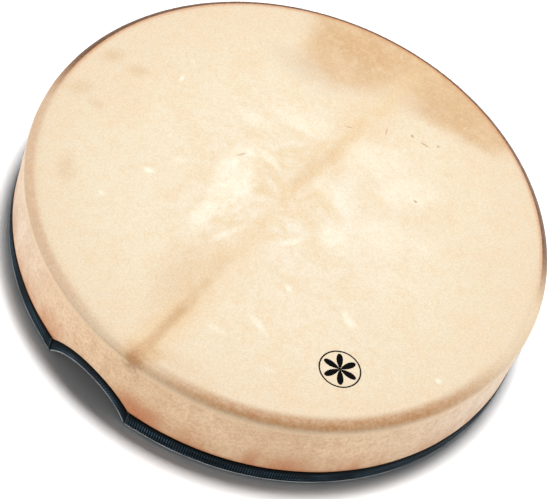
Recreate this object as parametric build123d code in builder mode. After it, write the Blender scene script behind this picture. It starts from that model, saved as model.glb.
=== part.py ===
"""A hand-held frame drum: a bent, laminated beech frame with a goat-skin head.

The head is glued and stapled round the outside of the frame, and a folded grosgrain ribbon covers the
staples and the frame's lower edge. An arched grip is cut out of that edge for the player's hand and has
a ribbon of its own. The drum stands on its open side: +Z points up through the head, the origin is at
the centre of the rim that it stands on, and the grip faces -Y. Sizes are in millimetres.
"""

import os
from math import acos, asin, cos, degrees, pi, radians, sin, sqrt

from build123d import *

# Driving sizes.
HEAD_RADIUS = 250.0  # outside of the skin: a 50 cm drum
DRUM_HEIGHT = 90.0
SKIN = 0.8  # thickness of the dried goat skin
RIBBON = 0.6  # thickness of the grosgrain ribbon
RIBBON_WIDTH = 38.0  # width of both ribbons before folding
PLY_COUNT = 7
PLY = 1.4  # thickness of one beech veneer

# Frame section.
FRAME_OUTER = HEAD_RADIUS - SKIN
FRAME_INNER = FRAME_OUTER - PLY_COUNT * PLY
FRAME_TOP = DRUM_HEIGHT - SKIN
FRAME_FOOT = RIBBON
CREST_ROUND = 1.3  # small round on the inside of the bearing edge
BEARING_ROUND = FRAME_OUTER - FRAME_INNER - CREST_ROUND  # wide round on its outside
FOOT_ROUND = 2.0
CREST_RADIUS = FRAME_INNER + CREST_ROUND
SHOULDER = FRAME_TOP - BEARING_ROUND  # height where the bearing edge starts to curve in

# Butt joint that closes each veneer into a hoop.
JOINT_GAP = 0.2  # filled with glue
FIRST_JOINT = 40.0  # degrees
JOINT_STEP = 3 * 360.0 / PLY_COUNT  # keeps neighbouring joints far apart

# Arched grip in the lower edge.
GRIP_WIDTH = 95.0
GRIP_RISE = 27.5
GRIP_RADIUS = (GRIP_WIDTH**2 / 4 + GRIP_RISE**2) / (2 * GRIP_RISE)
GRIP_CENTRE = GRIP_RISE - GRIP_RADIUS  # height of the arch's centre, below the rim
GRIP_CORNER = GRIP_WIDTH / 2 + 0.5  # where the long ribbon ends
WALL_REACH = 40.0  # how deep a cut at the grip reaches into the drum

# Skin and ribbon edges.
RIM_LEG = 20.5  # height that the long ribbon covers outside
RIM_CORNER = RIBBON + FOOT_ROUND  # inside radius of its outer fold
HEM = RIM_CORNER + RIBBON  # the skin ends this high, under the ribbon
HEM_SETBACK = 3.0  # and this far from the grip's cut edge
GRIP_LEG = 12.0  # width that the grip's ribbon covers outside
TAIL = 8.0  # how far the grip's ribbon runs on under the long one
TAIL_FOOT = HEM + 1.0  # lowest that it does so
COVER = TAIL + 1.5  # how far the long ribbon stands proud over that tail
RIBBON_OUTER = HEAD_RADIUS + RIBBON
RIBBON_INNER = FRAME_INNER - RIBBON
LAP_OUTER = RIBBON_OUTER + RIBBON  # where the long ribbon lies over the other
WALL_ACROSS = RIBBON_OUTER - RIBBON_INNER - RIBBON  # ribbon length used up by the frame's edge

# Staples.
CROWN = 10.0
LEG = 7.5
WIRE_WIDTH = 1.2
WIRE = 0.5
RIM_STAPLES = 50
STAPLE_HEIGHT = 11.5
STAPLE_START = 60.0  # first and last rim staple, measured sideways from the grip's middle
GRIP_STAPLE_ARC = 7.0  # distance of the grip's staples from its edge
GRIP_STAPLE_ANGLES = (-38.0, -13.0, 13.0, 38.0)

os.makedirs("parts", exist_ok=True)


def save(piece, name):
    """Label a finished piece and write it to its own file."""
    piece.part.label = name
    export_step(piece.part, f"parts/{name}.step")


def frame_section():
    """The frame's section: X is the radius and Y the height."""
    with BuildSketch() as section:
        with BuildLine():
            Line((FRAME_INNER, FRAME_FOOT + FOOT_ROUND), (FRAME_INNER, FRAME_TOP - CREST_ROUND))
            CenterArc((CREST_RADIUS, FRAME_TOP - CREST_ROUND), CREST_ROUND, 90, 90)
            CenterArc((CREST_RADIUS, SHOULDER), BEARING_ROUND, 0, 90)
            Line((FRAME_OUTER, SHOULDER), (FRAME_OUTER, FRAME_FOOT + FOOT_ROUND))
            CenterArc((FRAME_OUTER - FOOT_ROUND, FRAME_FOOT + FOOT_ROUND), FOOT_ROUND, 270, 90)
            Line((FRAME_OUTER - FOOT_ROUND, FRAME_FOOT), (FRAME_INNER + FOOT_ROUND, FRAME_FOOT))
            CenterArc((FRAME_INNER + FOOT_ROUND, FRAME_FOOT + FOOT_ROUND), FOOT_ROUND, 180, 90)
        make_face()
    return section.sketch


def skin_section():
    """The skin's section: flat over the opening, round the bearing edge and down the outside."""
    with BuildSketch() as section:
        with BuildLine():
            Line((0, FRAME_TOP), (CREST_RADIUS, FRAME_TOP))
            CenterArc((CREST_RADIUS, SHOULDER), BEARING_ROUND, 0, 90)
            Polyline((FRAME_OUTER, SHOULDER), (FRAME_OUTER, HEM), (HEAD_RADIUS, HEM), (HEAD_RADIUS, SHOULDER))
            CenterArc((CREST_RADIUS, SHOULDER), BEARING_ROUND + SKIN, 0, 90)
            Polyline((CREST_RADIUS, DRUM_HEIGHT), (0, DRUM_HEIGHT), (0, FRAME_TOP))
        make_face()
    return section.sketch


def rim_ribbon_section():
    """The long ribbon's section: up the outside, under the frame and up the inside.

    The outer leg is drawn with room for the other ribbon's tail under it.
    """
    outer_fold = (HEAD_RADIUS - RIM_CORNER, HEM)
    inner_fold = (FRAME_INNER + FOOT_ROUND, FRAME_FOOT + FOOT_ROUND)
    folds = (RIM_CORNER + FOOT_ROUND + RIBBON) * pi / 2
    inner_leg = RIBBON_WIDTH - (RIM_LEG - HEM) - folds - (outer_fold[0] - inner_fold[0])
    inner_top = inner_fold[1] + inner_leg
    with BuildSketch() as section:
        with BuildLine():
            Polyline(
                (HEAD_RADIUS, HEM),
                (HEAD_RADIUS, RIM_LEG),
                (LAP_OUTER, RIM_LEG),
                (LAP_OUTER, HEM),
                (RIBBON_OUTER, HEM),
            )
            CenterArc(outer_fold, RIM_CORNER + RIBBON, 270, 90)
            Line((outer_fold[0], 0), (inner_fold[0], 0))
            CenterArc(inner_fold, FOOT_ROUND + RIBBON, 180, 90)
            Polyline(
                (RIBBON_INNER, inner_fold[1]),
                (RIBBON_INNER, inner_top),
                (FRAME_INNER, inner_top),
                (FRAME_INNER, inner_fold[1]),
            )
            CenterArc(inner_fold, FOOT_ROUND, 180, 90)
            Line((inner_fold[0], FRAME_FOOT), (outer_fold[0], FRAME_FOOT))
            CenterArc(outer_fold, RIM_CORNER, 270, 90)
        make_face()
    return section.sketch


def grip_cutter(radius):
    """A round bar along Y that cuts the grip's arch, at the given radius, through the front wall."""
    with BuildPart() as cutter:
        with BuildSketch(Plane.XZ.offset(HEAD_RADIUS - WALL_REACH)):
            with Locations((0, GRIP_CENTRE)):
                Circle(radius)
        extrude(amount=2 * WALL_REACH)
    return cutter.part


def grip_window(width, half_width):
    """A bar along Y through the front wall, shaped like the grip's edge and the given width beside it."""
    with BuildPart() as window:
        with BuildSketch(Plane.XZ.offset(HEAD_RADIUS - WALL_REACH)):
            with Locations((0, GRIP_CENTRE)):
                Circle(GRIP_RADIUS + width)
                Circle(GRIP_RADIUS, mode=Mode.SUBTRACT)
            Rectangle(2 * half_width, DRUM_HEIGHT, mode=Mode.INTERSECT)
        extrude(amount=2 * WALL_REACH)
    return window.part


def wall_plane(around, height, lean=0.0):
    """A plane on the skin's outer face: its X runs along the wall, leaning down by lean, its Y inward.

    around is the angle from +X, in degrees. The origin is let in by the height of the crown's arc.
    """
    arc_height = HEAD_RADIUS - sqrt(HEAD_RADIUS**2 - CROWN**2 / 4)
    radius = HEAD_RADIUS - arc_height
    along = Vector(-sin(radians(around)), cos(radians(around)), 0)
    up = Vector(0, 0, 1)
    run = along * cos(radians(lean)) - up * sin(radians(lean))
    across = along * sin(radians(lean)) + up * cos(radians(lean))
    origin = (radius * cos(radians(around)), radius * sin(radians(around)), height)
    return Plane(origin=origin, x_dir=run, z_dir=across)


def staple_planes():
    """Planes for the rim's staples, then for those that follow the grip's arch."""
    clear = degrees(asin(STAPLE_START / HEAD_RADIUS))
    step = (360 - 2 * clear) / (RIM_STAPLES - 1)
    planes = [wall_plane(-90 + clear + i * step, STAPLE_HEIGHT) for i in range(RIM_STAPLES)]
    reach = GRIP_RADIUS + GRIP_STAPLE_ARC
    for angle in GRIP_STAPLE_ANGLES:
        sideways = reach * sin(radians(angle))
        around = -degrees(acos(sideways / HEAD_RADIUS))
        planes.append(wall_plane(around, GRIP_CENTRE + reach * cos(radians(angle)), angle))
    return planes


# Staples that hold the wet skin while its glue dries, each sunk flush with the skin.
with BuildPart() as skin_staples:
    with BuildSketch(*staple_planes()):
        Rectangle(CROWN, LEG, align=(Align.CENTER, Align.MIN))
        with Locations((0, WIRE)):
            Rectangle(CROWN - 2 * WIRE, LEG, align=(Align.CENTER, Align.MIN), mode=Mode.SUBTRACT)
    extrude(amount=WIRE_WIDTH / 2, both=True)
save(skin_staples, "skin_staples")

# Beech veneers, from the inside out. Together their top edges make the rounded bearing edge.
frame_arch = grip_cutter(GRIP_RADIUS + RIBBON)
for number in range(1, PLY_COUNT + 1):
    middle = FRAME_INNER + (number - 0.5) * PLY
    gap = degrees(JOINT_GAP / middle)
    joint = radians(FIRST_JOINT + (number - 1) * JOINT_STEP)
    joint_plane = Plane((0, 0, 0), x_dir=(cos(joint), sin(joint), 0), z_dir=(sin(joint), -cos(joint), 0))
    with BuildPart() as frame_ply:
        with BuildSketch(joint_plane):
            add(frame_section())
            with Locations((middle, DRUM_HEIGHT / 2)):
                Rectangle(PLY, DRUM_HEIGHT, mode=Mode.INTERSECT)
        revolve(axis=Axis.Z, revolution_arc=360 - gap)
        add(frame_arch, mode=Mode.SUBTRACT)
        if middle + PLY / 2 > HEAD_RADIUS - LEG:
            add(skin_staples.part, mode=Mode.SUBTRACT)
    save(frame_ply, f"frame_ply_{number}")

# One goat skin: the playing surface, the bearing edge and the outer wall down to its hem.
with BuildPart() as skin_head:
    with BuildSketch(Plane.XZ):
        add(skin_section())
    revolve(axis=Axis.Z)
    add(grip_cutter(GRIP_RADIUS + RIBBON + HEM_SETBACK), mode=Mode.SUBTRACT)
    add(skin_staples.part, mode=Mode.SUBTRACT)
save(skin_head, "skin_head")

# What the grip's ribbon is folded round: the wall over the arch, and the whole wall beside its corners.
with BuildPart() as grip_core:
    with BuildSketch(Plane.XY.offset(-FOOT_ROUND)):
        Circle(HEAD_RADIUS)
        with BuildSketch(Plane.XY, mode=Mode.SUBTRACT):
            Circle(FRAME_INNER)
            Rectangle(2 * GRIP_CORNER, 2 * HEAD_RADIUS, mode=Mode.INTERSECT)
    extrude(amount=DRUM_HEIGHT)
    with BuildSketch(Plane.XZ.offset(HEAD_RADIUS - WALL_REACH)):
        with Locations((0, GRIP_CENTRE)):
            Circle(GRIP_RADIUS + RIBBON)
        Rectangle(2 * GRIP_CORNER, DRUM_HEIGHT, mode=Mode.INTERSECT)
    extrude(amount=2 * WALL_REACH, mode=Mode.SUBTRACT)

# What is trimmed off outside the skin: past the ribbon's outer edge, and below the tails.
with BuildPart() as grip_trim:
    with BuildSketch(Plane.XY.offset(-FOOT_ROUND)):
        Circle(HEAD_RADIUS + WALL_REACH)
        Circle(HEAD_RADIUS, mode=Mode.SUBTRACT)
    extrude(amount=DRUM_HEIGHT)
    add(grip_cutter(GRIP_RADIUS + GRIP_LEG), mode=Mode.SUBTRACT)
    with BuildSketch(Plane.XY.offset(-FOOT_ROUND)):
        Circle(HEAD_RADIUS + WALL_REACH)
        Circle(HEAD_RADIUS, mode=Mode.SUBTRACT)
        with Locations((0, -HEAD_RADIUS)):
            Rectangle(2 * GRIP_CORNER, 4 * WALL_REACH, mode=Mode.SUBTRACT)
    extrude(amount=FOOT_ROUND + TAIL_FOOT)

# Short ribbon that lines the grip. Its outer edge runs on at both ends, under the long ribbon.
inner_width = RIBBON_WIDTH - GRIP_LEG - WALL_ACROSS
with BuildPart() as ribbon_grip:
    with BuildSketch():
        Circle(RIBBON_OUTER)
        Circle(RIBBON_INNER, mode=Mode.SUBTRACT)
    extrude(amount=DRUM_HEIGHT / 2)
    add(grip_window(inner_width, GRIP_CORNER + TAIL), mode=Mode.INTERSECT)
    add(grip_core.part, mode=Mode.SUBTRACT)
    add(grip_trim.part, mode=Mode.SUBTRACT)
save(ribbon_grip, "ribbon_grip")

# Long ribbon round the rest of the rim. Its cut ends lap over the grip ribbon's tails.
with BuildPart() as ribbon_rim:
    with BuildSketch(Plane.XZ):
        add(rim_ribbon_section())
    revolve(axis=Axis.Z)
    with BuildSketch():
        Circle(LAP_OUTER + WALL_REACH)
        Circle(RIBBON_OUTER, mode=Mode.SUBTRACT)
        with Locations((0, -HEAD_RADIUS)):
            Rectangle(2 * (GRIP_CORNER + COVER), 2 * WALL_REACH, mode=Mode.SUBTRACT)
    extrude(amount=DRUM_HEIGHT / 2, mode=Mode.SUBTRACT)
    with Locations((0, -HEAD_RADIUS, 0)):
        Box(2 * GRIP_CORNER, 2 * WALL_REACH, DRUM_HEIGHT, mode=Mode.SUBTRACT)
    add(ribbon_grip.part, mode=Mode.SUBTRACT)
save(ribbon_rim, "ribbon_rim")
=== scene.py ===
"""The looks of a hand-held frame drum: goat skin, black grosgrain ribbons and a laminated beech hoop.

Everything is in metres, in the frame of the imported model: +Z points up through the head, the origin is at
the centre of the rim that the drum stands on, and the arched hand grip faces -Y.
"""

import logging
import math
from dataclasses import dataclass, field
from enum import Enum
from functools import cached_property

import bpy
import numpy as np
from mathutils import Matrix, Vector


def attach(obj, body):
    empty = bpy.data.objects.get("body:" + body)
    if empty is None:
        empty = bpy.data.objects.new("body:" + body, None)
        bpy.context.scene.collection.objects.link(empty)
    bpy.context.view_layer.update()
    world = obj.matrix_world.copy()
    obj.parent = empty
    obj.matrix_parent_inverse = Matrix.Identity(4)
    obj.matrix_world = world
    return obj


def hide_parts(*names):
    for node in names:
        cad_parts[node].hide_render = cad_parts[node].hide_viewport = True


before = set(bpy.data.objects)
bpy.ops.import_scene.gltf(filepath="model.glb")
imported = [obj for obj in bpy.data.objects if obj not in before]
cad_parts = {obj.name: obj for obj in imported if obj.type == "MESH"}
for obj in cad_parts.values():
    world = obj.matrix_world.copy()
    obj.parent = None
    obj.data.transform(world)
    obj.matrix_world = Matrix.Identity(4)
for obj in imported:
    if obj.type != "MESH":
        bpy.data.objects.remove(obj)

LOG = logging.getLogger("frame_drum")
BODY = "root"

HEAD_RADIUS = 0.25
CREST_RADIUS = 0.2407
SHOULDER = 0.0807
WALL_INNER = 0.2394
RIBBON_TOP = 0.0205
QUARTER_TURN = np.radians([0, 30, 60, 90])

Socket = bpy.types.NodeSocket
Colour = tuple[float, float, float]
Place = tuple[float, float, float]


def millimetres(*values: float) -> tuple[float, ...]:
    """Turn millimetres into metres."""
    return tuple(value / 1000 for value in values)


def display_colour(red: int, green: int, blue: int) -> Colour:
    """Turn a colour picked on a display into linear light.

    Args:
        red: Red, from 0 to 255.
        green: Green, from 0 to 255.
        blue: Blue, from 0 to 255.

    Returns:
        The same colour as linear red, green and blue from 0 to 1.
    """
    def linear(part: int) -> float:
        """Undo the display's curve for one channel."""
        share = part / 255
        return share / 12.92 if share <= 0.04045 else ((share + 0.055) / 1.055) ** 2.4

    return linear(red), linear(green), linear(blue)


class Side(Enum):
    """Which face of a thin piece a material slot is for."""

    OUTER = 0
    INNER = 1


class Mixing(Enum):
    """How one colour is laid over another."""

    COVER = "MIX"
    DARKEN = "MULTIPLY"
    LIGHTEN = "SCREEN"


# --------------------------------------------------------------------------------------------------
# Materials
# --------------------------------------------------------------------------------------------------


class Recipe:
    """One procedural material in the making, with short calls for the nodes that a finish needs."""

    def __init__(self, name: str) -> None:
        """Start a material with one principled shader.

        Args:
            name: The material's name.
        """
        self.material = bpy.data.materials.new(name)
        self.material.use_nodes = True
        self.tree = self.material.node_tree
        self.tree.nodes.clear()
        self.shader = self.tree.nodes.new("ShaderNodeBsdfPrincipled")
        output = self.tree.nodes.new("ShaderNodeOutputMaterial")
        self.tree.links.new(self.shader.outputs["BSDF"], output.inputs["Surface"])
        self.place = self.tree.nodes.new("ShaderNodeTexCoord").outputs["Object"]
        self.x, self.y, self.z = self.split(self.place)

    def split(self, vector: Socket) -> tuple[Socket, Socket, Socket]:
        """Split a vector into its three parts.

        Args:
            vector: The vector.

        Returns:
            Its x, y and z.
        """
        node = self.tree.nodes.new("ShaderNodeSeparateXYZ")
        self.tree.links.new(vector, node.inputs[0])
        return node.outputs[0], node.outputs[1], node.outputs[2]

    @cached_property
    def flat(self) -> Socket:
        """The piece's own place, seen from above."""
        return self.vector(self.x, self.y, 0.0)

    def _feed(self, socket: Socket, value: "Socket | float | tuple[float, ...]") -> None:
        """Link or set one input.

        Args:
            socket: The input.
            value: A pattern to link, or a number or colour to set.
        """
        if isinstance(value, Socket):
            self.tree.links.new(value, socket)
        elif socket.type == "RGBA":
            socket.default_value = (*value, 1.0)
        else:
            socket.default_value = value

    def set(self, **values: "float | Colour") -> None:
        """Set shader inputs that are the same all over, by name with underscores for spaces."""
        for name, value in values.items():
            self._feed(self.shader.inputs[name.replace("_", " ")], value)

    def drive(self, name: str, value: Socket) -> None:
        """Link a pattern to one of the shader's inputs."""
        self.tree.links.new(value, self.shader.inputs[name])

    def maths(self, operation: str, *values: "Socket | float") -> Socket:
        """One arithmetic step.

        Args:
            operation: Blender's name for the operation, in any case.
            *values: One to three numbers or sockets.

        Returns:
            The result's socket.
        """
        node = self.tree.nodes.new("ShaderNodeMath")
        node.operation = operation.upper()
        for socket, value in zip(node.inputs, values):
            self._feed(socket, value)
        return node.outputs[0]

    def add(self, *values: "Socket | float") -> Socket:
        """Add up any number of values.

        Args:
            *values: Numbers or sockets, a socket among the first two.

        Returns:
            The sum's socket.
        """
        total = values[0]
        for value in values[1:]:
            total = self.maths("add", total, value)
        return total

    def times(self, *values: "Socket | float") -> Socket:
        """Multiply any number of values.

        Args:
            *values: Numbers or sockets, a socket among the first two.

        Returns:
            The product's socket.
        """
        product = values[0]
        for value in values[1:]:
            product = self.maths("multiply", product, value)
        return product

    def vector(self, x: "Socket | float", y: "Socket | float", z: "Socket | float") -> Socket:
        """Join three values into a vector.

        Args:
            x: The first part.
            y: The second.
            z: The third.

        Returns:
            The vector's socket.
        """
        node = self.tree.nodes.new("ShaderNodeCombineXYZ")
        for socket, value in zip(node.inputs, (x, y, z)):
            self._feed(socket, value)
        return node.outputs[0]

    def length(self, x: Socket, y: Socket) -> Socket:
        """The length of a flat vector."""
        return self.maths("sqrt", self.add(self.times(x, x), self.times(y, y)))

    def attribute(self, name: str) -> Socket:
        """Read a vector that the mesh carries at its points.

        Args:
            name: The attribute's name.

        Returns:
            The vector's socket.
        """
        node = self.tree.nodes.new("ShaderNodeAttribute")
        node.attribute_name = name
        return node.outputs["Vector"]

    def fade(self, value: Socket, start: float, end: float) -> Socket:
        """A smooth step from 0 at start to 1 at end, which may be the lower of the two.

        Args:
            value: What it reads.
            start: Where it is 0.
            end: Where it is 1.

        Returns:
            The step's socket.
        """
        node = self.tree.nodes.new("ShaderNodeMapRange")
        node.interpolation_type = "SMOOTHSTEP"
        node.clamp = False
        self._feed(node.inputs["Value"], value)
        low, high = min(start, end), max(start, end)
        self._feed(node.inputs["From Min"], low)
        self._feed(node.inputs["From Max"], high)
        self._feed(node.inputs["To Min"], 0.0 if start < end else 1.0)
        self._feed(node.inputs["To Max"], 1.0 if start < end else 0.0)
        return node.outputs["Result"]

    def line(self, value: Socket, place: float, start: float, end: float) -> Socket:
        """A line along one level of a value, fading from 0 at distance start to 1 at distance end."""
        return self.fade(self.maths("absolute", self.add(value, -place)), start, end)

    def noise(
        self, scale: float, detail: float = 3.0, roughness: float = 0.55, where: Socket | None = None,
        warp: float = 0.0, seed: float = 0.0,
    ) -> Socket:
        """Cloudy noise around one half.

        Args:
            scale: Clouds per metre.
            detail: How many finer layers it has.
            roughness: How strong the finer layers are.
            where: The place to read it at, or None for the piece's own place.
            warp: How far it is twisted.
            seed: Picks another pattern.

        Returns:
            The noise's socket, from about 0 to 1.
        """
        node = self.tree.nodes.new("ShaderNodeTexNoise")
        node.noise_dimensions = "4D"
        self._feed(node.inputs["Vector"], where or self.place)
        self._feed(node.inputs["W"], seed)
        self._feed(node.inputs["Scale"], scale)
        self._feed(node.inputs["Detail"], detail)
        self._feed(node.inputs["Roughness"], roughness)
        self._feed(node.inputs["Distortion"], warp)
        return node.outputs[0]

    def drift(self, scale: float, detail: float, roughness: float, seed: float, depth: float) -> Socket:
        """Cloudy noise around zero, about as deep as depth from top to bottom."""
        return self.times(self.add(self.noise(scale, detail, roughness, seed=seed), -0.5), depth)

    def cloud(
        self, scale: float, detail: float, roughness: float, start: float, end: float, seed: float,
        where: Socket | None = None, warp: float = 0.0,
    ) -> Socket:
        """Cloudy noise as a mask: 0 where it is below start, 1 where it is above end."""
        return self.fade(self.noise(scale, detail, roughness, where, warp, seed), start, end)

    def cells(self, scale: float, where: Socket | None = None, jitter: float = 1.0) -> Socket:
        """Distance to the nearest of many scattered points.

        Args:
            scale: Points per metre.
            where: The place to read it at, or None for the piece's own place.
            jitter: How irregular the points are.

        Returns:
            The distance's socket, 0 at each point.
        """
        node = self.tree.nodes.new("ShaderNodeTexVoronoi")
        self._feed(node.inputs["Vector"], where or self.place)
        self._feed(node.inputs["Scale"], scale)
        self._feed(node.inputs["Randomness"], jitter)
        return node.outputs["Distance"]

    def lay(
        self, ground: "Socket | Colour", coat: "Socket | Colour", amount: "Socket | float",
        mixing: Mixing = Mixing.COVER,
    ) -> Socket:
        """Lay one colour over another.

        Args:
            ground: The colour beneath.
            coat: The colour on top.
            amount: How much of it shows.
            mixing: How it is laid.

        Returns:
            The mixed colour's socket.
        """
        node = self.tree.nodes.new("ShaderNodeMix")
        node.data_type = "RGBA"
        node.blend_type = mixing.value
        node.clamp_factor = True
        self._feed(node.inputs[0], amount)
        self._feed(node.inputs[6], ground)
        self._feed(node.inputs[7], coat)
        return node.outputs[2]

    def relief(self, height: Socket, depth: float, strength: float, over: Socket | None = None) -> Socket:
        """A bump that is laid over another, and given to the shader.

        Args:
            height: The pattern.
            depth: Its depth in metres.
            strength: How much of it is felt.
            over: The bump beneath, if there is one.

        Returns:
            The bent normal's socket.
        """
        node = self.tree.nodes.new("ShaderNodeBump")
        self._feed(node.inputs["Height"], height)
        self._feed(node.inputs["Distance"], depth)
        self._feed(node.inputs["Strength"], strength)
        if over is not None:
            self._feed(node.inputs["Normal"], over)
        self.drive("Normal", node.outputs[0])
        return node.outputs[0]


@dataclass(frozen=True)
class Spot:
    """A soft-edged place that differs in colour, seen from above, in millimetres and degrees."""

    x: float
    y: float
    half_length: float
    half_width: float
    turn: float = 0.0
    strength: float = 1.0

    def mask(self, recipe: Recipe, wobble: Socket, softness: float) -> Socket:
        """How much of the spot shows.

        Args:
            recipe: The material in the making.
            wobble: What its edge is pushed about by, around 0, in half-sizes.
            softness: How much of its half-size the edge takes.

        Returns:
            The mask's socket, from 0 to the spot's strength.
        """
        x, y, half_length, half_width = millimetres(self.x, self.y, self.half_length, self.half_width)
        mapping = recipe.tree.nodes.new("ShaderNodeMapping")
        mapping.vector_type = "TEXTURE"
        recipe.tree.links.new(recipe.flat, mapping.inputs["Vector"])
        mapping.inputs["Location"].default_value = (x, y, 0)
        mapping.inputs["Rotation"].default_value = (0, 0, math.radians(self.turn))
        mapping.inputs["Scale"].default_value = (half_length, half_width, 1)
        length = recipe.tree.nodes.new("ShaderNodeVectorMath")
        length.operation = "LENGTH"
        recipe.tree.links.new(mapping.outputs[0], length.inputs[0])
        reach = recipe.add(length.outputs["Value"], wobble)
        return recipe.times(recipe.fade(reach, 1 + softness / 2, 1 - softness), self.strength)


@dataclass(frozen=True)
class GoatSkin:
    """The grain side of a sun-dried goat skin: pale on the head, tanner at the edge and on the wall.

    The fields that end in _side are azimuths in degrees, counted from +X towards +Y.
    """

    chalk: Colour = display_colour(222, 218, 202)
    pale: Colour = display_colour(212, 204, 187)
    cream: Colour = display_colour(209, 196, 172)
    honey: Colour = display_colour(204, 187, 162)
    gold: Colour = display_colour(200, 172, 126)
    tan: Colour = display_colour(186, 150, 108)
    mauve: Colour = display_colour(188, 168, 148)
    brown: Colour = display_colour(158, 112, 68)
    bronze: Colour = display_colour(160, 116, 73)
    peach: Colour = display_colour(205, 181, 147)
    # umber is the colour of the painted shade line along the far rim.
    umber: Colour = display_colour(82, 54, 34)
    rust: Colour = display_colour(190, 119, 74)
    russet: Colour = display_colour(166, 120, 86)
    grit: Colour = display_colour(184, 128, 92)
    blush: Colour = display_colour(223, 204, 180)
    # warm is the wall's painted-shade colour on its shaded side, and the colour of the painted light line
    # on the lower bend.
    warm: Colour = display_colour(230, 200, 163)
    ink: Colour = display_colour(5, 4, 4)
    speck: Colour = (0.87, 0.82, 0.74)
    bloom: Colour = (0.06, 0.06, 0.056)
    # The painted shade line along the far rim lies towards this side, away from the camera.
    far_side: float = 115.0
    left_side: float = 222.0
    # A thin dark line is painted towards this side as the shade of a fold in the skin.
    crease_shade_side: float = 246.0
    damp_side: float = 285.0
    shaded_side: float = 298.0
    dirty_side: float = 310.0
    # The brown band is made stronger towards this side as painted shade, where the bend faces away from the
    # key light.
    band_shade_side: float = 320.0
    # Height of the thin painted shade line for a fold in the skin.
    crease_height: float = 0.0848
    # Height of the painted light line that lightens the lower bend.
    turn_height: float = 0.0818
    wall_stretch: float = 0.22
    spine_lean: float = -0.15
    spine_shift: float = 0.003
    mark_place: tuple[float, float] = (0.155, -0.105)
    mark_radius: float = 0.0165
    mark_turn: float = 133.3
    ring_radius: float = 0.01881
    shine: float = 0.25
    head_spots: tuple[Spot, ...] = (
        Spot(-88, 178, 52, 48, 15, 0.95),
        Spot(-72, 214, 80, 34, 18, 0.8),
        Spot(5, 224, 80, 38, -2, 0.85),
        Spot(52, 224, 40, 26, -16, 0.4),
        Spot(-14, 202, 52, 28, 12, 0.45),
    )
    smears: tuple[Spot, ...] = (
        Spot(-104, 128, 46, 18, 8, 0.55),
        Spot(-20, 178, 40, 14, 30, 0.3),
    )
    blots: tuple[Spot, ...] = (
        Spot(-224, -20, 14, 9, 70, 0.4),
        Spot(-197, -13, 12, 8, 40, 0.3),
        Spot(-212, -73, 14, 10, 70, 0.35),
        Spot(-189, -74, 10, 7, 0, 0.3),
        Spot(-150, -150, 18, 9, -45, 0.35),
        Spot(35, -232, 16, 11, 30, 0.75),
        Spot(0, -150, 56, 26, -72, 0.32),
        Spot(60, -218, 40, 12, 12, 0.2),
        Spot(-14, 33, 26, 9, -75, 0.25),
        Spot(-15, 73, 22, 7, -80, 0.22),
    )
    pale_spots: tuple[Spot, ...] = (
        Spot(-52, -28, 56, 20, -68, 1.0),
        Spot(-38, -84, 26, 9, -75, 0.8),
        Spot(-45, 16, 15, 6, -10, 0.9),
        Spot(-84, 40, 22, 9, 20, 0.6),
        Spot(-60, 80, 30, 18, 20, 0.6),
        Spot(14, 102, 34, 22, 40, 0.55),
        Spot(62, 100, 34, 18, 60, 0.5),
        Spot(18, 36, 22, 14, 0, 0.5),
        Spot(54, -2, 18, 15, 0, 0.65),
        Spot(33, -38, 14, 4, 68, 0.8),
        Spot(-10, -82, 18, 4, 80, 0.6),
        Spot(80, 40, 40, 18, 30, 0.35),
    )
    stains: tuple[Spot, ...] = (
        Spot(53, -243, 24, 20, 0, 1.0),
        Spot(-58, -243, 17, 20, 0, 0.6),
        Spot(152, -198, 7, 6, 0, 0.6),
        Spot(180, -173, 14, 8, 45, 0.5),
        Spot(100, -229, 12, 8, 20, 0.4),
        Spot(-100, -229, 14, 8, 0, 0.35),
    )
    middle_spot: Spot = Spot(-18, 5, 125, 80, 98)
    knot_spot: Spot = Spot(36, -244, 12, 9, 12, 0.75)
    flecks: tuple[Spot, ...] = (
        Spot(-165, 16, 5, 2.4, -60, 1.0),
        Spot(-174, 41, 3, 2, 0, 0.5),
        Spot(-104, -89, 5.5, 3.6, 30, 1.0),
        Spot(-95, -56, 8, 3.5, 40, 0.5),
        Spot(-121, -43, 3, 2.4, 0, 0.5),
        Spot(67, -79, 4.5, 3.5, 0, 0.9),
        Spot(126, -60, 8, 5, 0, 0.8),
        Spot(118, -57, 4, 3, 0, 0.6),
        Spot(77, -130, 13, 4, -10, 0.7),
        Spot(58, -164, 9, 4, 20, 0.5),
        Spot(-111, -143, 4, 3, 0, 0.7),
        Spot(219, -41, 3.4, 3, 0, 0.9),
        Spot(117, -157, 6, 3, 30, 0.4),
        Spot(-96, 182, 7, 0.9, 60, 0.25),
        Spot(-87, 197, 8, 0.8, 15, 0.25),
        Spot(-58, 224, 7, 0.9, -50, 0.25),
        Spot(42, 208, 5, 0.9, 80, 0.25),
    )
    freckles: tuple[Spot, ...] = (
        Spot(17, 155, 2.2, 1.4, -25, 0.8),
        Spot(31, 157, 5, 0.9, 15, 0.8),
        Spot(-2, 137, 5, 0.8, -60, 0.6),
        Spot(41, 167, 1.6, 1.2, 0, 0.7),
        Spot(72, 96, 2.2, 1.6, 0, 0.7),
        Spot(-28, 110, 4, 1, 40, 0.5),
        Spot(-66, -2, 5, 1.2, 70, 0.5),
    )

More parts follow.
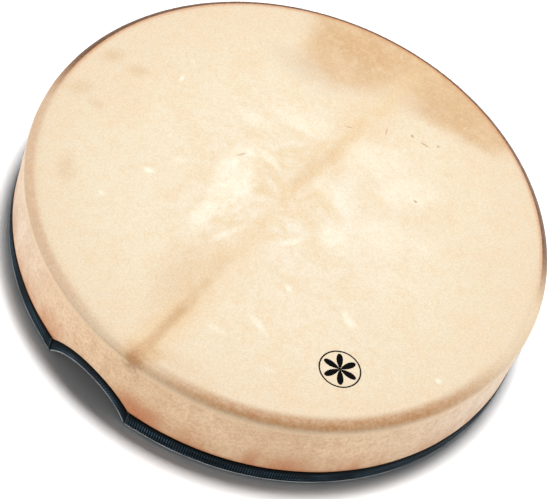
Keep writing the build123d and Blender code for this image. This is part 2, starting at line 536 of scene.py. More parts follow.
    def material(self) -> bpy.types.Material:
        """Make the material.

        Returns:
            The finished material.
        """
        recipe = Recipe("goat_skin_grain_side")
        radius = recipe.length(recipe.x, recipe.y)
        colour = self._ground(recipe, radius)
        slow = recipe.drift(16, 4, 0.65, seed=7.0, depth=1.0)
        colour = self._dab(recipe, colour, self.head_spots, self.tan, slow, 0.4, 0.88)
        colour = self._dab(recipe, colour, self.smears, self.mauve, slow, 0.9, 0.8)
        colour = self._clouds(recipe, colour)
        colour = self._spine(recipe, colour)
        colour = self._places(recipe, colour, slow)
        colour = self._wall(recipe, colour)
        colour = self._edge(recipe, colour, radius)
        colour = self._grain_colour(recipe, colour)
        recipe.drive("Base Color", self._mark(recipe, colour))
        self._surface(recipe)
        return recipe.material

    def _towards(self, recipe: Recipe, azimuth: float, start: float, end: float) -> Socket:
        """A mask that grows towards an azimuth; the middle counts 0 and the rim that way 1.

        Args:
            recipe: The material in the making.
            azimuth: The direction in degrees.
            start: Where the mask is 0.
            end: Where it is 1.

        Returns:
            The mask's socket.
        """
        turn = math.radians(azimuth)
        reach = recipe.add(recipe.times(recipe.x, math.cos(turn)), recipe.times(recipe.y, math.sin(turn)))
        return recipe.fade(recipe.times(reach, 1 / HEAD_RADIUS), start, end)

    def _dab(
        self, recipe: Recipe, colour: Socket, spots: tuple[Spot, ...], paint: Colour, wobble: Socket,
        softness: float, share: "Socket | float",
    ) -> Socket:
        """Lay a paint over some spots.

        Args:
            recipe: The material in the making.
            colour: The colour beneath.
            spots: Where the paint goes.
            paint: Its colour.
            wobble: What the spots' edges are pushed about by.
            softness: How soft their edges are.
            share: How thick the paint is.

        Returns:
            The colour with the paint on it.
        """
        for spot in spots:
            colour = recipe.lay(colour, paint, recipe.times(spot.mask(recipe, wobble, softness), share))
        return colour

    def _ground(self, recipe: Recipe, radius: Socket) -> Socket:
        """The head's slow change from its pale middle to its edge.

        Args:
            recipe: The material in the making.
            radius: Each place's distance from the drum's axis.

        Returns:
            The ground colour.
        """
        reach = recipe.add(radius, recipe.drift(5, 2, 0.55, seed=1.0, depth=0.09))
        colour = recipe.lay(self.pale, self.cream, recipe.fade(reach, 0.02, 0.16))
        return recipe.lay(colour, self.honey, recipe.fade(reach, 0.13, 0.262))

    def _clouds(self, recipe: Recipe, colour: Socket) -> Socket:
        """Soft uneven tanning, at four sizes, and golden veins either side of the spine.

        Args:
            recipe: The material in the making.
            colour: The colour beneath.

        Returns:
            The colour with the tanning on it.
        """
        for paint, scale, seed, amount in (
            (self.honey, 9, 2.0, 0.3),
            (self.peach, 30, 3.0, 0.4),
            (self.peach, 90, 4.0, 0.42),
            (self.peach, 190, 24.0, 0.3),
        ):
            cloud = recipe.cloud(scale, 4, 0.6, 0.46, 0.7, seed=seed, warp=0.4)
            colour = recipe.lay(colour, paint, recipe.times(cloud, amount))
        swirl = recipe.noise(17, 3, 0.55, warp=1.2, seed=19.0)
        vein = recipe.line(swirl, 0.5, 0.1, 0.0)
        middle = self.middle_spot.mask(recipe, recipe.times(recipe.add(swirl, -0.5), 1.5), 0.9)
        return recipe.lay(colour, self.gold, recipe.times(vein, middle, 0.5))

    def _spine(self, recipe: Recipe, colour: Socket) -> Socket:
        """The animal's back line: a soft golden stripe, with a dark core towards the grip.

        Args:
            recipe: The material in the making.
            colour: The colour beneath.

        Returns:
            The colour with the back line on it.
        """
        drift = recipe.drift(14, 3, 0.55, seed=5.0, depth=0.018)
        lean = recipe.times(recipe.y, -self.spine_lean)
        off = recipe.maths("absolute", recipe.add(recipe.x, lean, self.spine_shift, drift))
        low = recipe.fade(recipe.y, -0.06, -0.2)
        high = recipe.times(recipe.fade(recipe.y, 0.015, 0.06), recipe.fade(recipe.y, 0.2, 0.12))
        broken = recipe.cloud(38, 4, 0.6, 0.34, 0.62, seed=6.0)
        halo = recipe.add(recipe.times(low, 0.3), recipe.times(high, 0.12), 0.24)
        halo = recipe.times(recipe.fade(off, 0.034, 0.0), halo, recipe.add(broken, 1.0))
        streak = recipe.add(recipe.times(low, 0.4), recipe.times(high, 0.35), 0.25)
        worn = recipe.add(recipe.times(broken, 0.5), 0.14)
        streak = recipe.times(recipe.fade(off, 0.012, 0.002), worn, streak)
        core = recipe.add(recipe.times(broken, 0.32), 0.14)
        core = recipe.times(recipe.fade(off, 0.0085, 0.0005), low, core)
        for paint, amount in ((self.peach, halo), (self.gold, streak), (self.brown, core)):
            colour = recipe.lay(colour, paint, amount)
        return colour

    def _places(self, recipe: Recipe, colour: Socket, slow: Socket) -> Socket:
        """Brown and pale places, then small scars and freckles.

        Args:
            recipe: The material in the making.
            colour: The colour beneath.
            slow: Slow noise for the large places' edges.

        Returns:
            The colour with the places on it.
        """
        quick = recipe.drift(60, 4, 0.65, seed=8.0, depth=1.3)
        fine = recipe.drift(160, 3, 0.6, seed=20.0, depth=0.5)
        patchy = recipe.cloud(48, 5, 0.7, 0.36, 0.6, seed=9.0, warp=0.8)
        patchy = recipe.add(recipe.times(patchy, 0.45), 0.3)
        for spots, paint, wobble, softness, share in (
            (self.blots, self.tan, quick, 0.9, 1.0),
            (self.pale_spots, self.chalk, recipe.add(slow, quick, fine), 0.6, patchy),
            (self.flecks, self.chalk, recipe.times(fine, 1.6), 0.85, 0.75),
            (self.freckles, self.brown, fine, 0.5, 0.9),
        ):
            colour = self._dab(recipe, colour, spots, paint, wobble, softness, share)
        return colour

    def _wall(self, recipe: Recipe, colour: Socket) -> Socket:
        """The wall, pinker than the head, streaked downwards and stained where glue and water stood, and
        painted warmer and a little darker towards its shaded side as painted shade.

        Args:
            recipe: The material in the making.
            colour: The colour beneath.

        Returns:
            The colour with the wall's own over it.
        """
        down = recipe.vector(recipe.x, recipe.y, recipe.times(recipe.z, self.wall_stretch))
        slow = recipe.cloud(11, 3, 0.5, 0.35, 0.65, seed=12.0, where=down)
        streak = recipe.cloud(75, 4, 0.6, 0.42, 0.72, seed=11.0, where=down)
        blotch = recipe.cloud(95, 4, 0.65, 0.44, 0.7, seed=25.0)
        grit = recipe.cloud(300, 3, 0.7, 0.46, 0.6, seed=26.0)
        damp = recipe.cloud(30, 4, 0.6, 0.4, 0.66, seed=13.0, where=down)
        dirty = recipe.add(recipe.times(self._towards(recipe, self.dirty_side, 0.5, 0.9), 0.5), 0.5)
        low = recipe.times(recipe.fade(recipe.z, 0.056, 0.018), dirty)
        foot = recipe.fade(recipe.z, RIBBON_TOP + 0.004, RIBBON_TOP)
        foot = recipe.times(foot, self._towards(recipe, self.damp_side, 0.4, 0.85))
        # Painted shade: the wall turns warmer and a little darker towards the shaded side, which faces away
        # from the key light.
        wall = recipe.lay(self.blush, self.warm, self._towards(recipe, self.shaded_side, 0.45, 0.95))
        for paint, mask, amount in (
            (self.tan, slow, 0.2),
            (self.tan, streak, 0.32),
            (self.rust, blotch, 0.26),
            (self.grit, grit, 0.32),
            (self.tan, low, 0.26),
            (self.rust, recipe.times(low, damp), 0.75),
            (self.rust, foot, 0.75),
        ):
            wall = recipe.lay(wall, paint, recipe.times(mask, amount))
        wobble = recipe.times(recipe.add(damp, -0.5), 0.7)
        share = recipe.times(recipe.fade(recipe.z, 0.06, 0.024), 0.9)
        wall = self._dab(recipe, wall, self.stains, self.rust, wobble, 0.8, share)
        return recipe.lay(colour, wall, recipe.fade(recipe.z, SHOULDER + 0.006, SHOULDER - 0.001))

    def _edge(self, recipe: Recipe, colour: Socket, radius: Socket) -> Socket:
        """The bearing edge, where the bent skin is browner and worn, with painted shade: the brown band is
        made much stronger on the near side, a thin dark line stands for the shade of a fold below it, and a
        dark line runs along the far rim; a painted light line lightens the lower bend.

        Args:
            recipe: The material in the making.
            colour: The colour beneath.
            radius: Each place's distance from the drum's axis.

        Returns:
            The colour with the edge on it.
        """
        # Noise that breaks up the band's wear and the painted shade lines.
        wear_and_light = recipe.add(recipe.times(recipe.cloud(210, 4, 0.7, 0.32, 0.66, seed=10.0), 0.26), 0.7)
        near = self._towards(recipe, self.band_shade_side, 0.62, 0.95)
        left = self._towards(recipe, self.left_side, 0.5, 0.92)
        front = self._towards(recipe, self.crease_shade_side, 0.72, 0.92)
        bent = recipe.fade(recipe.z, SHOULDER + 0.002, SHOULDER + 0.006)
        far = recipe.times(self._towards(recipe, self.far_side, -0.05, 0.3), bent)
        # The band: the skin's own brown, made much stronger towards the near side as painted shade.
        band = recipe.times(
            recipe.fade(radius, CREST_RADIUS - 0.007, CREST_RADIUS + 0.0022),
            recipe.fade(recipe.z, SHOULDER + 0.001, SHOULDER + 0.0075),
            recipe.add(recipe.times(near, 0.92), 0.13),
        )
        flush = recipe.times(recipe.fade(radius, CREST_RADIUS - 0.002, CREST_RADIUS + 0.0035), left, bent)
        # Painted light: a warm pale line lightens the lower bend, which the overhead key light leaves in
        # shade.
        bend_painted_light = recipe.line(recipe.z, self.turn_height, 0.0042, 0.001)
        # Painted shade: a thin brown line stands for the shade of a fold in the skin below the band.
        crease_shade_line = recipe.line(recipe.z, self.crease_height, 0.0013, 0.0002)
        knot = self.knot_spot.mask(recipe, recipe.times(recipe.add(wear_and_light, -0.8), 2.5), 0.8)
        # Painted shade along the far rim, where the bent skin turns away: a reddish line inside a dark
        # umber one.
        far_rim_shade_inner = recipe.times(recipe.fade(radius, CREST_RADIUS - 0.0022, CREST_RADIUS + 0.0003), far)
        far_rim_shade_outer = recipe.times(recipe.fade(radius, CREST_RADIUS + 0.0007, CREST_RADIUS + 0.0025), far)
        for paint, mask, amount in (
            (self.bronze, band, wear_and_light),
            (self.russet, recipe.times(flush, wear_and_light), 0.48),
            (self.warm, bend_painted_light, 0.5),
            (self.brown, recipe.times(crease_shade_line, front, wear_and_light), 0.3),
            (self.brown, knot, recipe.fade(recipe.z, 0.066, 0.084)),
            (self.rust, recipe.times(far_rim_shade_inner, wear_and_light), 0.55),
            (self.umber, far_rim_shade_outer, 0.92),
        ):
            colour = recipe.lay(colour, paint, recipe.times(mask, amount))
        return colour

    def _grain_colour(self, recipe: Recipe, colour: Socket) -> Socket:
        """Pores and fine mottling in the colour.

        Args:
            recipe: The material in the making.
            colour: The colour beneath.

        Returns:
            The mottled colour.
        """
        dark = recipe.cloud(620, 3, 0.75, 0.42, 0.62, seed=14.0)
        colour = recipe.lay(colour, self.speck, recipe.times(dark, 0.6), Mixing.DARKEN)
        light = recipe.cloud(520, 3, 0.75, 0.46, 0.66, seed=15.0)
        colour = recipe.lay(colour, self.bloom, light, Mixing.LIGHTEN)
        pores = recipe.fade(recipe.cells(620), 0.3, 0.08)
        return recipe.lay(colour, self.brown, recipe.times(pores, 0.16))

    def _mark(self, recipe: Recipe, colour: Socket) -> Socket:
        """A small printed rosette: six petals in a ring.

        Args:
            recipe: The material in the making.
            colour: The colour beneath.

        Returns:
            The colour with the print on it.
        """
        across = recipe.add(recipe.x, -self.mark_place[0])
        up = recipe.add(recipe.y, -self.mark_place[1])
        reach = recipe.length(across, up)
        turn = recipe.add(recipe.maths("arctan2", up, across), -math.radians(self.mark_turn))
        petal = recipe.maths("absolute", recipe.maths("cosine", recipe.times(turn, 3)))
        petals = recipe.fade(recipe.add(reach, recipe.times(petal, -self.mark_radius)), 0.0003, -0.0003)
        ring = recipe.line(reach, self.ring_radius, 0.001, 0.0005)
        on_head = recipe.fade(recipe.z, SHOULDER, SHOULDER + 0.004)
        printed = recipe.times(recipe.maths("maximum", petals, ring), on_head)
        recipe.drive("Specular IOR Level", recipe.add(self.shine, recipe.times(printed, -0.9 * self.shine)))
        return recipe.lay(colour, self.ink, printed)

    def _surface(self, recipe: Recipe) -> None:
        """Sheen and relief: a dry satin surface with pores, hair lines and a little unevenness.

        Args:
            recipe: The material in the making.
        """
        recipe.set(Sheen_Weight=0.01, Sheen_Roughness=0.5)
        dull = recipe.noise(55, 4, 0.6, seed=16.0)
        recipe.drive("Roughness", recipe.add(recipe.times(dull, 0.22), 0.42))
        bump = recipe.relief(recipe.noise(60, 5, 0.65, seed=17.0), 0.0006, 0.25)
        hair = recipe.vector(recipe.times(recipe.x, 0.25), recipe.y, recipe.z)
        bump = recipe.relief(recipe.noise(420, 3, 0.6, where=hair, seed=18.0), 0.0002, 0.3, bump)
        recipe.relief(recipe.fade(recipe.cells(700), 0.3, 0.0), -0.00015, 0.35, bump)


@dataclass(frozen=True)
class FleshSide:
    """The inner side of the skin: matt, paler and fibrous."""

    ground: Colour = display_colour(200, 180, 148)
    fibre: Colour = display_colour(214, 202, 178)
    shade: Colour = display_colour(170, 138, 100)

    def material(self) -> bpy.types.Material:
        """Make the material.

        Returns:
            The finished material.
        """
        recipe = Recipe("goat_skin_flesh_side")
        cloud = recipe.noise(14, 5, 0.6, warp=0.5, seed=21.0)
        colour = recipe.lay(self.ground, self.shade, recipe.fade(cloud, 0.45, 0.8))
        combed = recipe.vector(recipe.x, recipe.times(recipe.y, 0.2), recipe.z)
        fibres = recipe.noise(500, 4, 0.7, where=combed, seed=22.0)
        colour = recipe.lay(colour, self.fibre, recipe.times(recipe.fade(fibres, 0.45, 0.7), 0.6))
        recipe.drive("Base Color", colour)
        recipe.set(Specular_IOR_Level=0.2, Sheen_Weight=0.2, Sheen_Roughness=0.6)
        recipe.drive("Roughness", recipe.add(recipe.times(fibres, 0.2), 0.68))
        recipe.relief(fibres, 0.0004, 0.5)
        return recipe.material


@dataclass(frozen=True)
class Grosgrain:
    """Black ribbed ribbon, with a blue sheen painted on its ribs as a painted highlight, held off its top
    edge, where the black stands as painted shade, and a painted highlight along its fold.

    Each ribbon's mesh carries a vector at its points: the distance from the ribbon's nearer end, the
    distance across it from its outer edge, and how far the point stands up on a rib.
    """

    name: str
    fold: float
    black: Colour = display_colour(3, 6, 8)
    # The painted sheen's colour, laid on the rib crowns.
    sheen: Colour = display_colour(84, 114, 134)
    dust: Colour = display_colour(92, 104, 110)
    # The painted highlight's colour, along the fold.
    worn: Colour = display_colour(225, 230, 232)
    tint: Colour = (0.75, 0.83, 1.0)
    thread_pitch: float = 0.00035
    # How far below the top edge the painted shade holds the painted sheen off.
    edge: float = 0.0065

    def material(self) -> bpy.types.Material:
        """Make the material.

        Returns:
            The finished material.
        """
        recipe = Recipe(self.name)
        inwards, across, crown = recipe.split(recipe.attribute("weave"))
        threads = recipe.maths("sine", recipe.times(across, 2 * math.pi / self.thread_pitch))
        lengthened = recipe.vector(inwards, recipe.times(across, 0.3), 0.0)
        slub = recipe.noise(900, 3, 0.6, where=lengthened, seed=31.0)
        raised = recipe.fade(crown, 0.62, 1.0)
        below = recipe.fade(across, self.edge * 0.4, self.edge)
        gloss = recipe.add(recipe.times(recipe.cloud(26, 3, 0.6, 0.3, 0.7, seed=33.0), 0.5), 0.25)
        drawn = recipe.vector(recipe.times(inwards, 0.04), across, 0.0)
        streak = recipe.cloud(520, 2, 0.5, 0.42, 0.62, seed=35.0, where=drawn)
        streak = recipe.add(recipe.times(streak, 0.8), 0.35)
        lint = recipe.cloud(160, 5, 0.75, 0.6, 0.74, seed=32.0)
        patchy = recipe.add(recipe.times(recipe.cloud(40, 4, 0.7, 0.3, 0.6, seed=34.0), 0.6), 0.4)
        # Painted highlight: a pale line along the fold, broken in patches and stronger on the ribs.
        wear_and_light = recipe.add(recipe.times(raised, 0.4), 0.6)
        fold_highlight = recipe.times(recipe.line(across, self.fold, 0.0011, 0.0003), patchy, wear_and_light)
        cut = recipe.line(inwards, 0.0018, 0.0006, 0.0001)
        # Painted sheen: blue-grey on the rib crowns, in patches and lengthwise streaks; near the top edge
        # it is held off, so the black stands as painted shade.
        colour = recipe.lay(self.black, self.sheen, recipe.times(raised, below, gloss, streak))
        for paint, amount in (
            (self.dust, recipe.times(lint, 0.3)),
            # The painted highlight along the fold.
            (self.worn, fold_highlight),
            (self.dust, recipe.times(cut, 0.45)),
            (self.black, recipe.fade(inwards, 0.0013, 0.0009)),
        ):
            colour = recipe.lay(colour, paint, amount)
        recipe.drive("Base Color", colour)
        recipe.set(Specular_IOR_Level=0.045, Sheen_Weight=0.006, Sheen_Roughness=0.3, Sheen_Tint=self.tint)
        recipe.drive("Roughness", recipe.add(recipe.times(slub, 0.25), 0.38))
        bump = recipe.relief(threads, 0.00006, 0.5)
        recipe.relief(slub, 0.0001, 0.4, bump)
        return recipe.material


@dataclass(frozen=True)
class Beech:
    """Steamed beech, bent with its grain along the hoop, under a thin satin lacquer."""

    ground: Colour = display_colour(222, 184, 140)
    late: Colour = display_colour(196, 150, 106)
    fleck: Colour = display_colour(150, 104, 68)
    hoop_radius: float = 0.24

    def material(self) -> bpy.types.Material:
        """Make the material.

        Returns:
            The finished material.
        """
        recipe = Recipe("bent_beech")
        radius = recipe.length(recipe.x, recipe.y)
        cosine = recipe.maths("divide", recipe.x, radius)
        sine = recipe.maths("divide", recipe.y, radius)

        def bent(stretch: float) -> Socket:
            """A place whose patterns are longer round the hoop than up it."""
            reach = recipe.add(radius, self.hoop_radius * (stretch - 1))
            return recipe.vector(recipe.times(cosine, reach), recipe.times(sine, reach), recipe.z)

        rings = recipe.noise(60, 4, 0.55, where=bent(0.12), seed=41.0, warp=0.3)
        colour = recipe.lay(self.ground, self.late, recipe.fade(rings, 0.35, 0.7))
        fine = recipe.noise(500, 3, 0.6, where=bent(0.05), seed=42.0)
        colour = recipe.lay(colour, self.late, recipe.times(recipe.fade(fine, 0.45, 0.75), 0.5))
        flecks = recipe.fade(recipe.cells(420, bent(0.3)), 0.16, 0.06)
        colour = recipe.lay(colour, self.fleck, recipe.times(flecks, 0.55))
        recipe.drive("Base Color", colour)
        recipe.set(Specular_IOR_Level=0.45, Coat_Weight=0.25, Coat_Roughness=0.25)
        recipe.drive("Roughness", recipe.add(recipe.times(fine, 0.2), 0.38))
        bump = recipe.relief(fine, 0.00015, 0.35)
        recipe.relief(flecks, -0.0001, 0.4, bump)
        return recipe.material


@dataclass(frozen=True)
class StapleWire:
    """Drawn, galvanised wire."""

    zinc: Colour = display_colour(176, 178, 180)
    dull: Colour = display_colour(130, 132, 136)

    def material(self) -> bpy.types.Material:
        """Make the material.

        Returns:
            The finished material.
        """
        recipe = Recipe("galvanised_wire")
        patches = recipe.noise(900, 4, 0.65, seed=51.0)
        recipe.drive("Base Color", recipe.lay(self.zinc, self.dull, recipe.fade(patches, 0.35, 0.7)))
        recipe.set(Metallic=0.9)
        recipe.drive("Roughness", recipe.add(recipe.times(patches, 0.3), 0.3))
        recipe.relief(patches, 0.00003, 0.5)
        return recipe.material


@dataclass(frozen=True)
class StudioPaper:
    """The seamless pale paper that the drum stands on."""

    white: Colour = (0.95, 0.95, 0.95)

    def material(self) -> bpy.types.Material:
        """Make the material.

        Returns:
            The finished material.
        """
        recipe = Recipe("studio_paper")
        grain = recipe.noise(300, 3, 0.5, seed=61.0)
        recipe.set(Specular_IOR_Level=0.1, Base_Color=self.white)
        recipe.drive("Roughness", recipe.add(recipe.times(grain, 0.1), 0.85))
        return recipe.material


# --------------------------------------------------------------------------------------------------
# Meshes
# --------------------------------------------------------------------------------------------------


def mesh_piece(
    name: str, points: np.ndarray, quads: np.ndarray, triangles: np.ndarray | None = None,
    sides: np.ndarray | None = None,
) -> bpy.types.Object:
    """Make a piece from arrays.

    Args:
        name: The piece's name.
        points: Its points, n by 3.
        quads: Its four-sided faces, m by 4.
        triangles: Its three-sided faces, k by 3.
        sides: A material slot number for each face, quads first.

    Returns:
        The piece, in the scene and riding on the drum.
    """
    mesh = bpy.data.meshes.new(name)
    faces = quads.tolist() + ([] if triangles is None else triangles.tolist())
    mesh.from_pydata(points.tolist(), [], faces)
    mesh.polygons.foreach_set("use_smooth", np.ones(len(faces), bool))
    if sides is not None:
        mesh.polygons.foreach_set("material_index", sides.astype(np.int32))
    mesh.validate()
    mesh.update()
    piece = bpy.data.objects.new(name, mesh)
    bpy.context.scene.collection.objects.link(piece)
    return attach(piece, BODY)


def lattice(columns: int, rows: int, wrap_columns: bool, wrap_rows: bool) -> np.ndarray:
    """The faces of a lattice whose points are numbered row by row within each column.

    Args:
        columns: How many columns of points there are.
        rows: How many points a column has.
        wrap_columns: Whether the last column joins the first.
        wrap_rows: Whether a column's last point joins its first.

    Returns:
        Four point numbers for each face.
    """
    column = np.arange(columns if wrap_columns else columns - 1)
    row = np.arange(rows if wrap_rows else rows - 1)
    here, down = np.meshgrid(column, row, indexing="ij")
    beside, below = (here + 1) % columns, (down + 1) % rows
    corners = (here * rows + down, here * rows + below, beside * rows + below, beside * rows + down)
    return np.stack([corner.ravel() for corner in corners], axis=1)


def smooth_step(value: np.ndarray, start: float, end: float) -> np.ndarray:
    """A smooth step from 0 at start to 1 at end."""
    share = np.clip((value - start) / (end - start), 0, 1)
    return share * share * (3 - 2 * share)


def ripple(angle: np.ndarray, low: int, high: int, seed: int) -> np.ndarray:
    """A seamless random curve round the drum, about -1 to 1.

    Args:
        angle: Where to read it, in radians.
        low: The fewest waves round the drum.
        high: The most.
        seed: Picks the curve.

    Returns:
        The curve's values.
    """
    draw = np.random.default_rng(seed)
    waves = np.arange(low, high + 1)
    height = draw.normal(size=len(waves))
    phase = draw.uniform(0, 2 * math.pi, len(waves))
    total = sum(h * np.cos(w * angle + p) for h, w, p in zip(height, waves, phase))
    return total / (1.6 * math.sqrt(len(waves)))


@dataclass
class Grip:
    """The arched hand grip in the lower edge: a circle's top, cut through the front wall."""

    width: float = 0.095
    rise: float = 0.0275
    corner: float = 0.048
    radius: float = field(init=False)
    centre: float = field(init=False)

    def __post_init__(self) -> None:
        """Work out the arch's circle."""
        self.radius = (self.width**2 / 4 + self.rise**2) / (2 * self.rise)
        self.centre = self.rise - self.radius

    def height(self, sideways: np.ndarray, margin: float, floor: float) -> np.ndarray:
        """Height of a line that keeps a margin outside the arch, and never goes below floor."""
        inside = np.clip((self.radius + margin) ** 2 - sideways**2, 0, None)
        return np.maximum(np.sqrt(inside) + self.centre, floor)


@dataclass
class HeadSkin:
    """The goat skin: a taut head, bent over the bearing edge and down the outside of the hoop."""

    grip: Grip
    height: float = 0.09
    thickness: float = 0.0008
    hem: float = 0.0032
    hem_margin: float = 0.0036
    ridge_lean: float = 0.155
    ridge_width: float = 0.004
    ridge_height: float = 0.00012
    swell_height: float = 0.00006
    pucker_height: float = 0.00028
    columns: int = 720
    head_rings: int = 44
    bend_rings: int = 12
    wall_rings: int = 26
    inner_rings: tuple[int, int, int] = (12, 6, 8)
    first_ring: float = 0.003

    def build(self) -> bpy.types.Object:
        """Make the skin's mesh and dress it.

        Returns:
            The skin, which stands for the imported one.
        """
        angle = np.linspace(0, 2 * math.pi, self.columns, endpoint=False)
        outer = self._face(angle, 0.0, self.head_rings, self.bend_rings, self.wall_rings)
        outer = self._relief(outer, angle)
        inner = self._face(angle, self.thickness, *self.inner_rings)[:, ::-1]
        grid = np.concatenate([outer, inner], axis=1)
        rows = grid.shape[1]
        poles = np.array([[0, 0, outer[:, 0, 2].mean()], [0, 0, self.height - self.thickness]])
        points = np.concatenate([grid.reshape(-1, 3), poles])
        upper_pole, lower_pole = len(points) - 2, len(points) - 1
        quads = lattice(self.columns, rows, True, False)
        column = np.arange(self.columns)
        here, beside = column * rows, (column + 1) % self.columns * rows
        top = np.stack([np.full_like(column, upper_pole), here, beside], axis=1)
        last = rows - 1
        under = np.stack([np.full_like(column, lower_pole), beside + last, here + last], axis=1)
        row = np.tile(np.arange(rows - 1), self.columns)
        sides = np.where(row < outer.shape[1], Side.OUTER.value, Side.INNER.value)
        ends = np.repeat([Side.OUTER.value, Side.INNER.value], self.columns)
        caps = np.concatenate([top, under])
        skin = mesh_piece("goat_skin", points, quads, caps, np.concatenate([sides, ends]))
        skin.data.materials.append(GoatSkin().material())
        skin.data.materials.append(FleshSide().material())
        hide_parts("skin_head")
        return skin

    def _face(
        self, angle: np.ndarray, inset: float, head_rings: int, bend_rings: int, wall_rings: int,
    ) -> np.ndarray:
        """One face of the skin, from its middle to its hem.

        Args:
            angle: The columns' angles.
            inset: How far the face lies inside the outer one.
            head_rings: Rings over the flat head.
            bend_rings: Rings over the bearing edge.
            wall_rings: Rings down the wall.

        Returns:
            Points by column and ring.
        """
        bend_radius = HEAD_RADIUS - CREST_RADIUS - inset
        turn = np.linspace(0, math.pi / 2, bend_rings + 1)
        head = np.linspace(self.first_ring, CREST_RADIUS, head_rings, endpoint=False)
        bend = CREST_RADIUS + bend_radius * np.sin(turn)
        radius = np.concatenate([head, bend, np.full(wall_rings, HEAD_RADIUS - inset)])
        flat = np.full(head_rings, self.height - inset)
        level = np.concatenate([flat, SHOULDER + bend_radius * np.cos(turn)])
        share = np.linspace(0, 1, wall_rings + 1)[1:]
        arch = self.grip.height(HEAD_RADIUS * np.cos(angle), self.hem_margin, self.hem)
        foot = np.where(np.sin(angle) < 0, arch, self.hem)
        wall = SHOULDER + (foot[:, None] - SHOULDER) * share
        levels = np.concatenate([np.tile(level, (len(angle), 1)), wall], axis=1)
        radii = np.tile(radius, (len(angle), 1))
        cosine, sine = np.cos(angle)[:, None], np.sin(angle)[:, None]
        return np.stack([radii * cosine, radii * sine, levels], axis=2)

    def _relief(self, face: np.ndarray, angle: np.ndarray) -> np.ndarray:
        """Lift the outer face a little: a ridge over the spine, slow unevenness, puckers on the wall.

        Args:
            face: Points by column and ring.
            angle: The columns' angles.

        Returns:
            The points after lifting.
        """
        x, y, z = face[..., 0], face[..., 1], face[..., 2]
        radius = np.hypot(x, y)
        on_head = 1 - smooth_step(radius, CREST_RADIUS - 0.02, CREST_RADIUS)
        ridge = np.exp(-(((x + self.ridge_lean * y) / self.ridge_width) ** 2))
        ridge *= smooth_step(-np.abs(y), -0.24, -0.05)
        swell = np.sin(31 * x + 1.3) * np.sin(27 * y + 0.4)
        swell += 0.5 * np.sin(67 * x + 2) * np.sin(59 * y + 1.1)
        sink = self.ridge_height + self.swell_height / 2
        lift = on_head * (self.ridge_height * ridge + self.swell_height * swell - sink)
        puckers = 0.6 * ripple(angle, 18, 60, 5) + 0.4 * ripple(angle, 90, 170, 6)
        on_wall = smooth_step(-z, -SHOULDER, -0.05) * smooth_step(z, 0.017, 0.032)
        push = self.pucker_height * (puckers[:, None] - 0.4) * on_wall
        return np.stack([x * (1 + push / radius), y * (1 + push / radius), z + lift], axis=2)


@dataclass
class Ribbon:
    """What both ribbons share: a thin ribbed strip folded round an edge."""

    thickness: float = 0.0006
    width: float = 0.038
    rib_pitch: float = 0.0024
    rib_height: float = 0.00028
    steps_per_rib: int = 4
    selvedge: float = 0.0014

    def strip(
        self, name: str, place: np.ndarray, outward: np.ndarray, along: np.ndarray, across: np.ndarray,
    ) -> bpy.types.Object:
        """Make a ribbed strip.

        Args:
            name: The piece's name.
            place: Points of the strip's inner face, by column and row.
            outward: The direction from its inner face to its outer one at each point.
            along: Distance along the ribbon for each column.
            across: Distance across the ribbon for each row.

        Returns:
            The strip, with its own places for the weave.
        """
        columns, rows = place.shape[:2]
        phase = along / self.rib_pitch * math.pi
        rib = np.abs(np.sin(phase)) ** 0.7
        edge = np.minimum(across - across[0], across[-1] - across)
        ribbed = smooth_step(edge, self.selvedge * 0.6, self.selvedge)
        plain = (1 - ribbed)[None, :]
        crown = rib[:, None] * ribbed[None, :]
        hem = 0.35 * np.abs(np.sin(phase * 2))[:, None] * plain
        lift = self.thickness + self.rib_height * (crown + hem + 0.3 * plain - 1)
        outer = place + outward * lift[..., None]
        around = 2 * rows
        points = np.concatenate([outer, place[:, ::-1]], axis=1).reshape(-1, 3)
        quads = lattice(columns, around, False, True)
        row = np.arange(rows - 1)
        start = np.stack([row, around - 1 - row, around - 2 - row, row + 1], axis=1)
        end = start[:, [0, 3, 2, 1]] + (columns - 1) * around
        piece = mesh_piece(name, points, np.concatenate([quads, start, end]))
        weave = np.zeros((columns, around, 3))
        weave[:, :, 0] = np.minimum(along, along[-1] - along)[:, None]
        weave[:, :rows, 1] = across
        weave[:, rows:, 1] = across[::-1]
        weave[:, :rows, 2] = crown + hem
        carried = piece.data.attributes.new("weave", "FLOAT_VECTOR", "POINT")
        carried.data.foreach_set("vector", weave.astype(np.float32).ravel())
        return piece

    def unfold(self, rows: list[tuple[float, ...]]) -> tuple[np.ndarray, ...]:
        """Add the distance across the ribbon to the rows of its section.

        Args:
            rows: Two places and the outward direction's two parts, for each row.

        Returns:
            The same four values as arrays, and the distance across the ribbon.
        """
        table = np.array(rows)
        steps = np.hypot(np.diff(table[:, 0]), np.diff(table[:, 1]))
        return *table.T, np.concatenate([[0], np.cumsum(steps)])


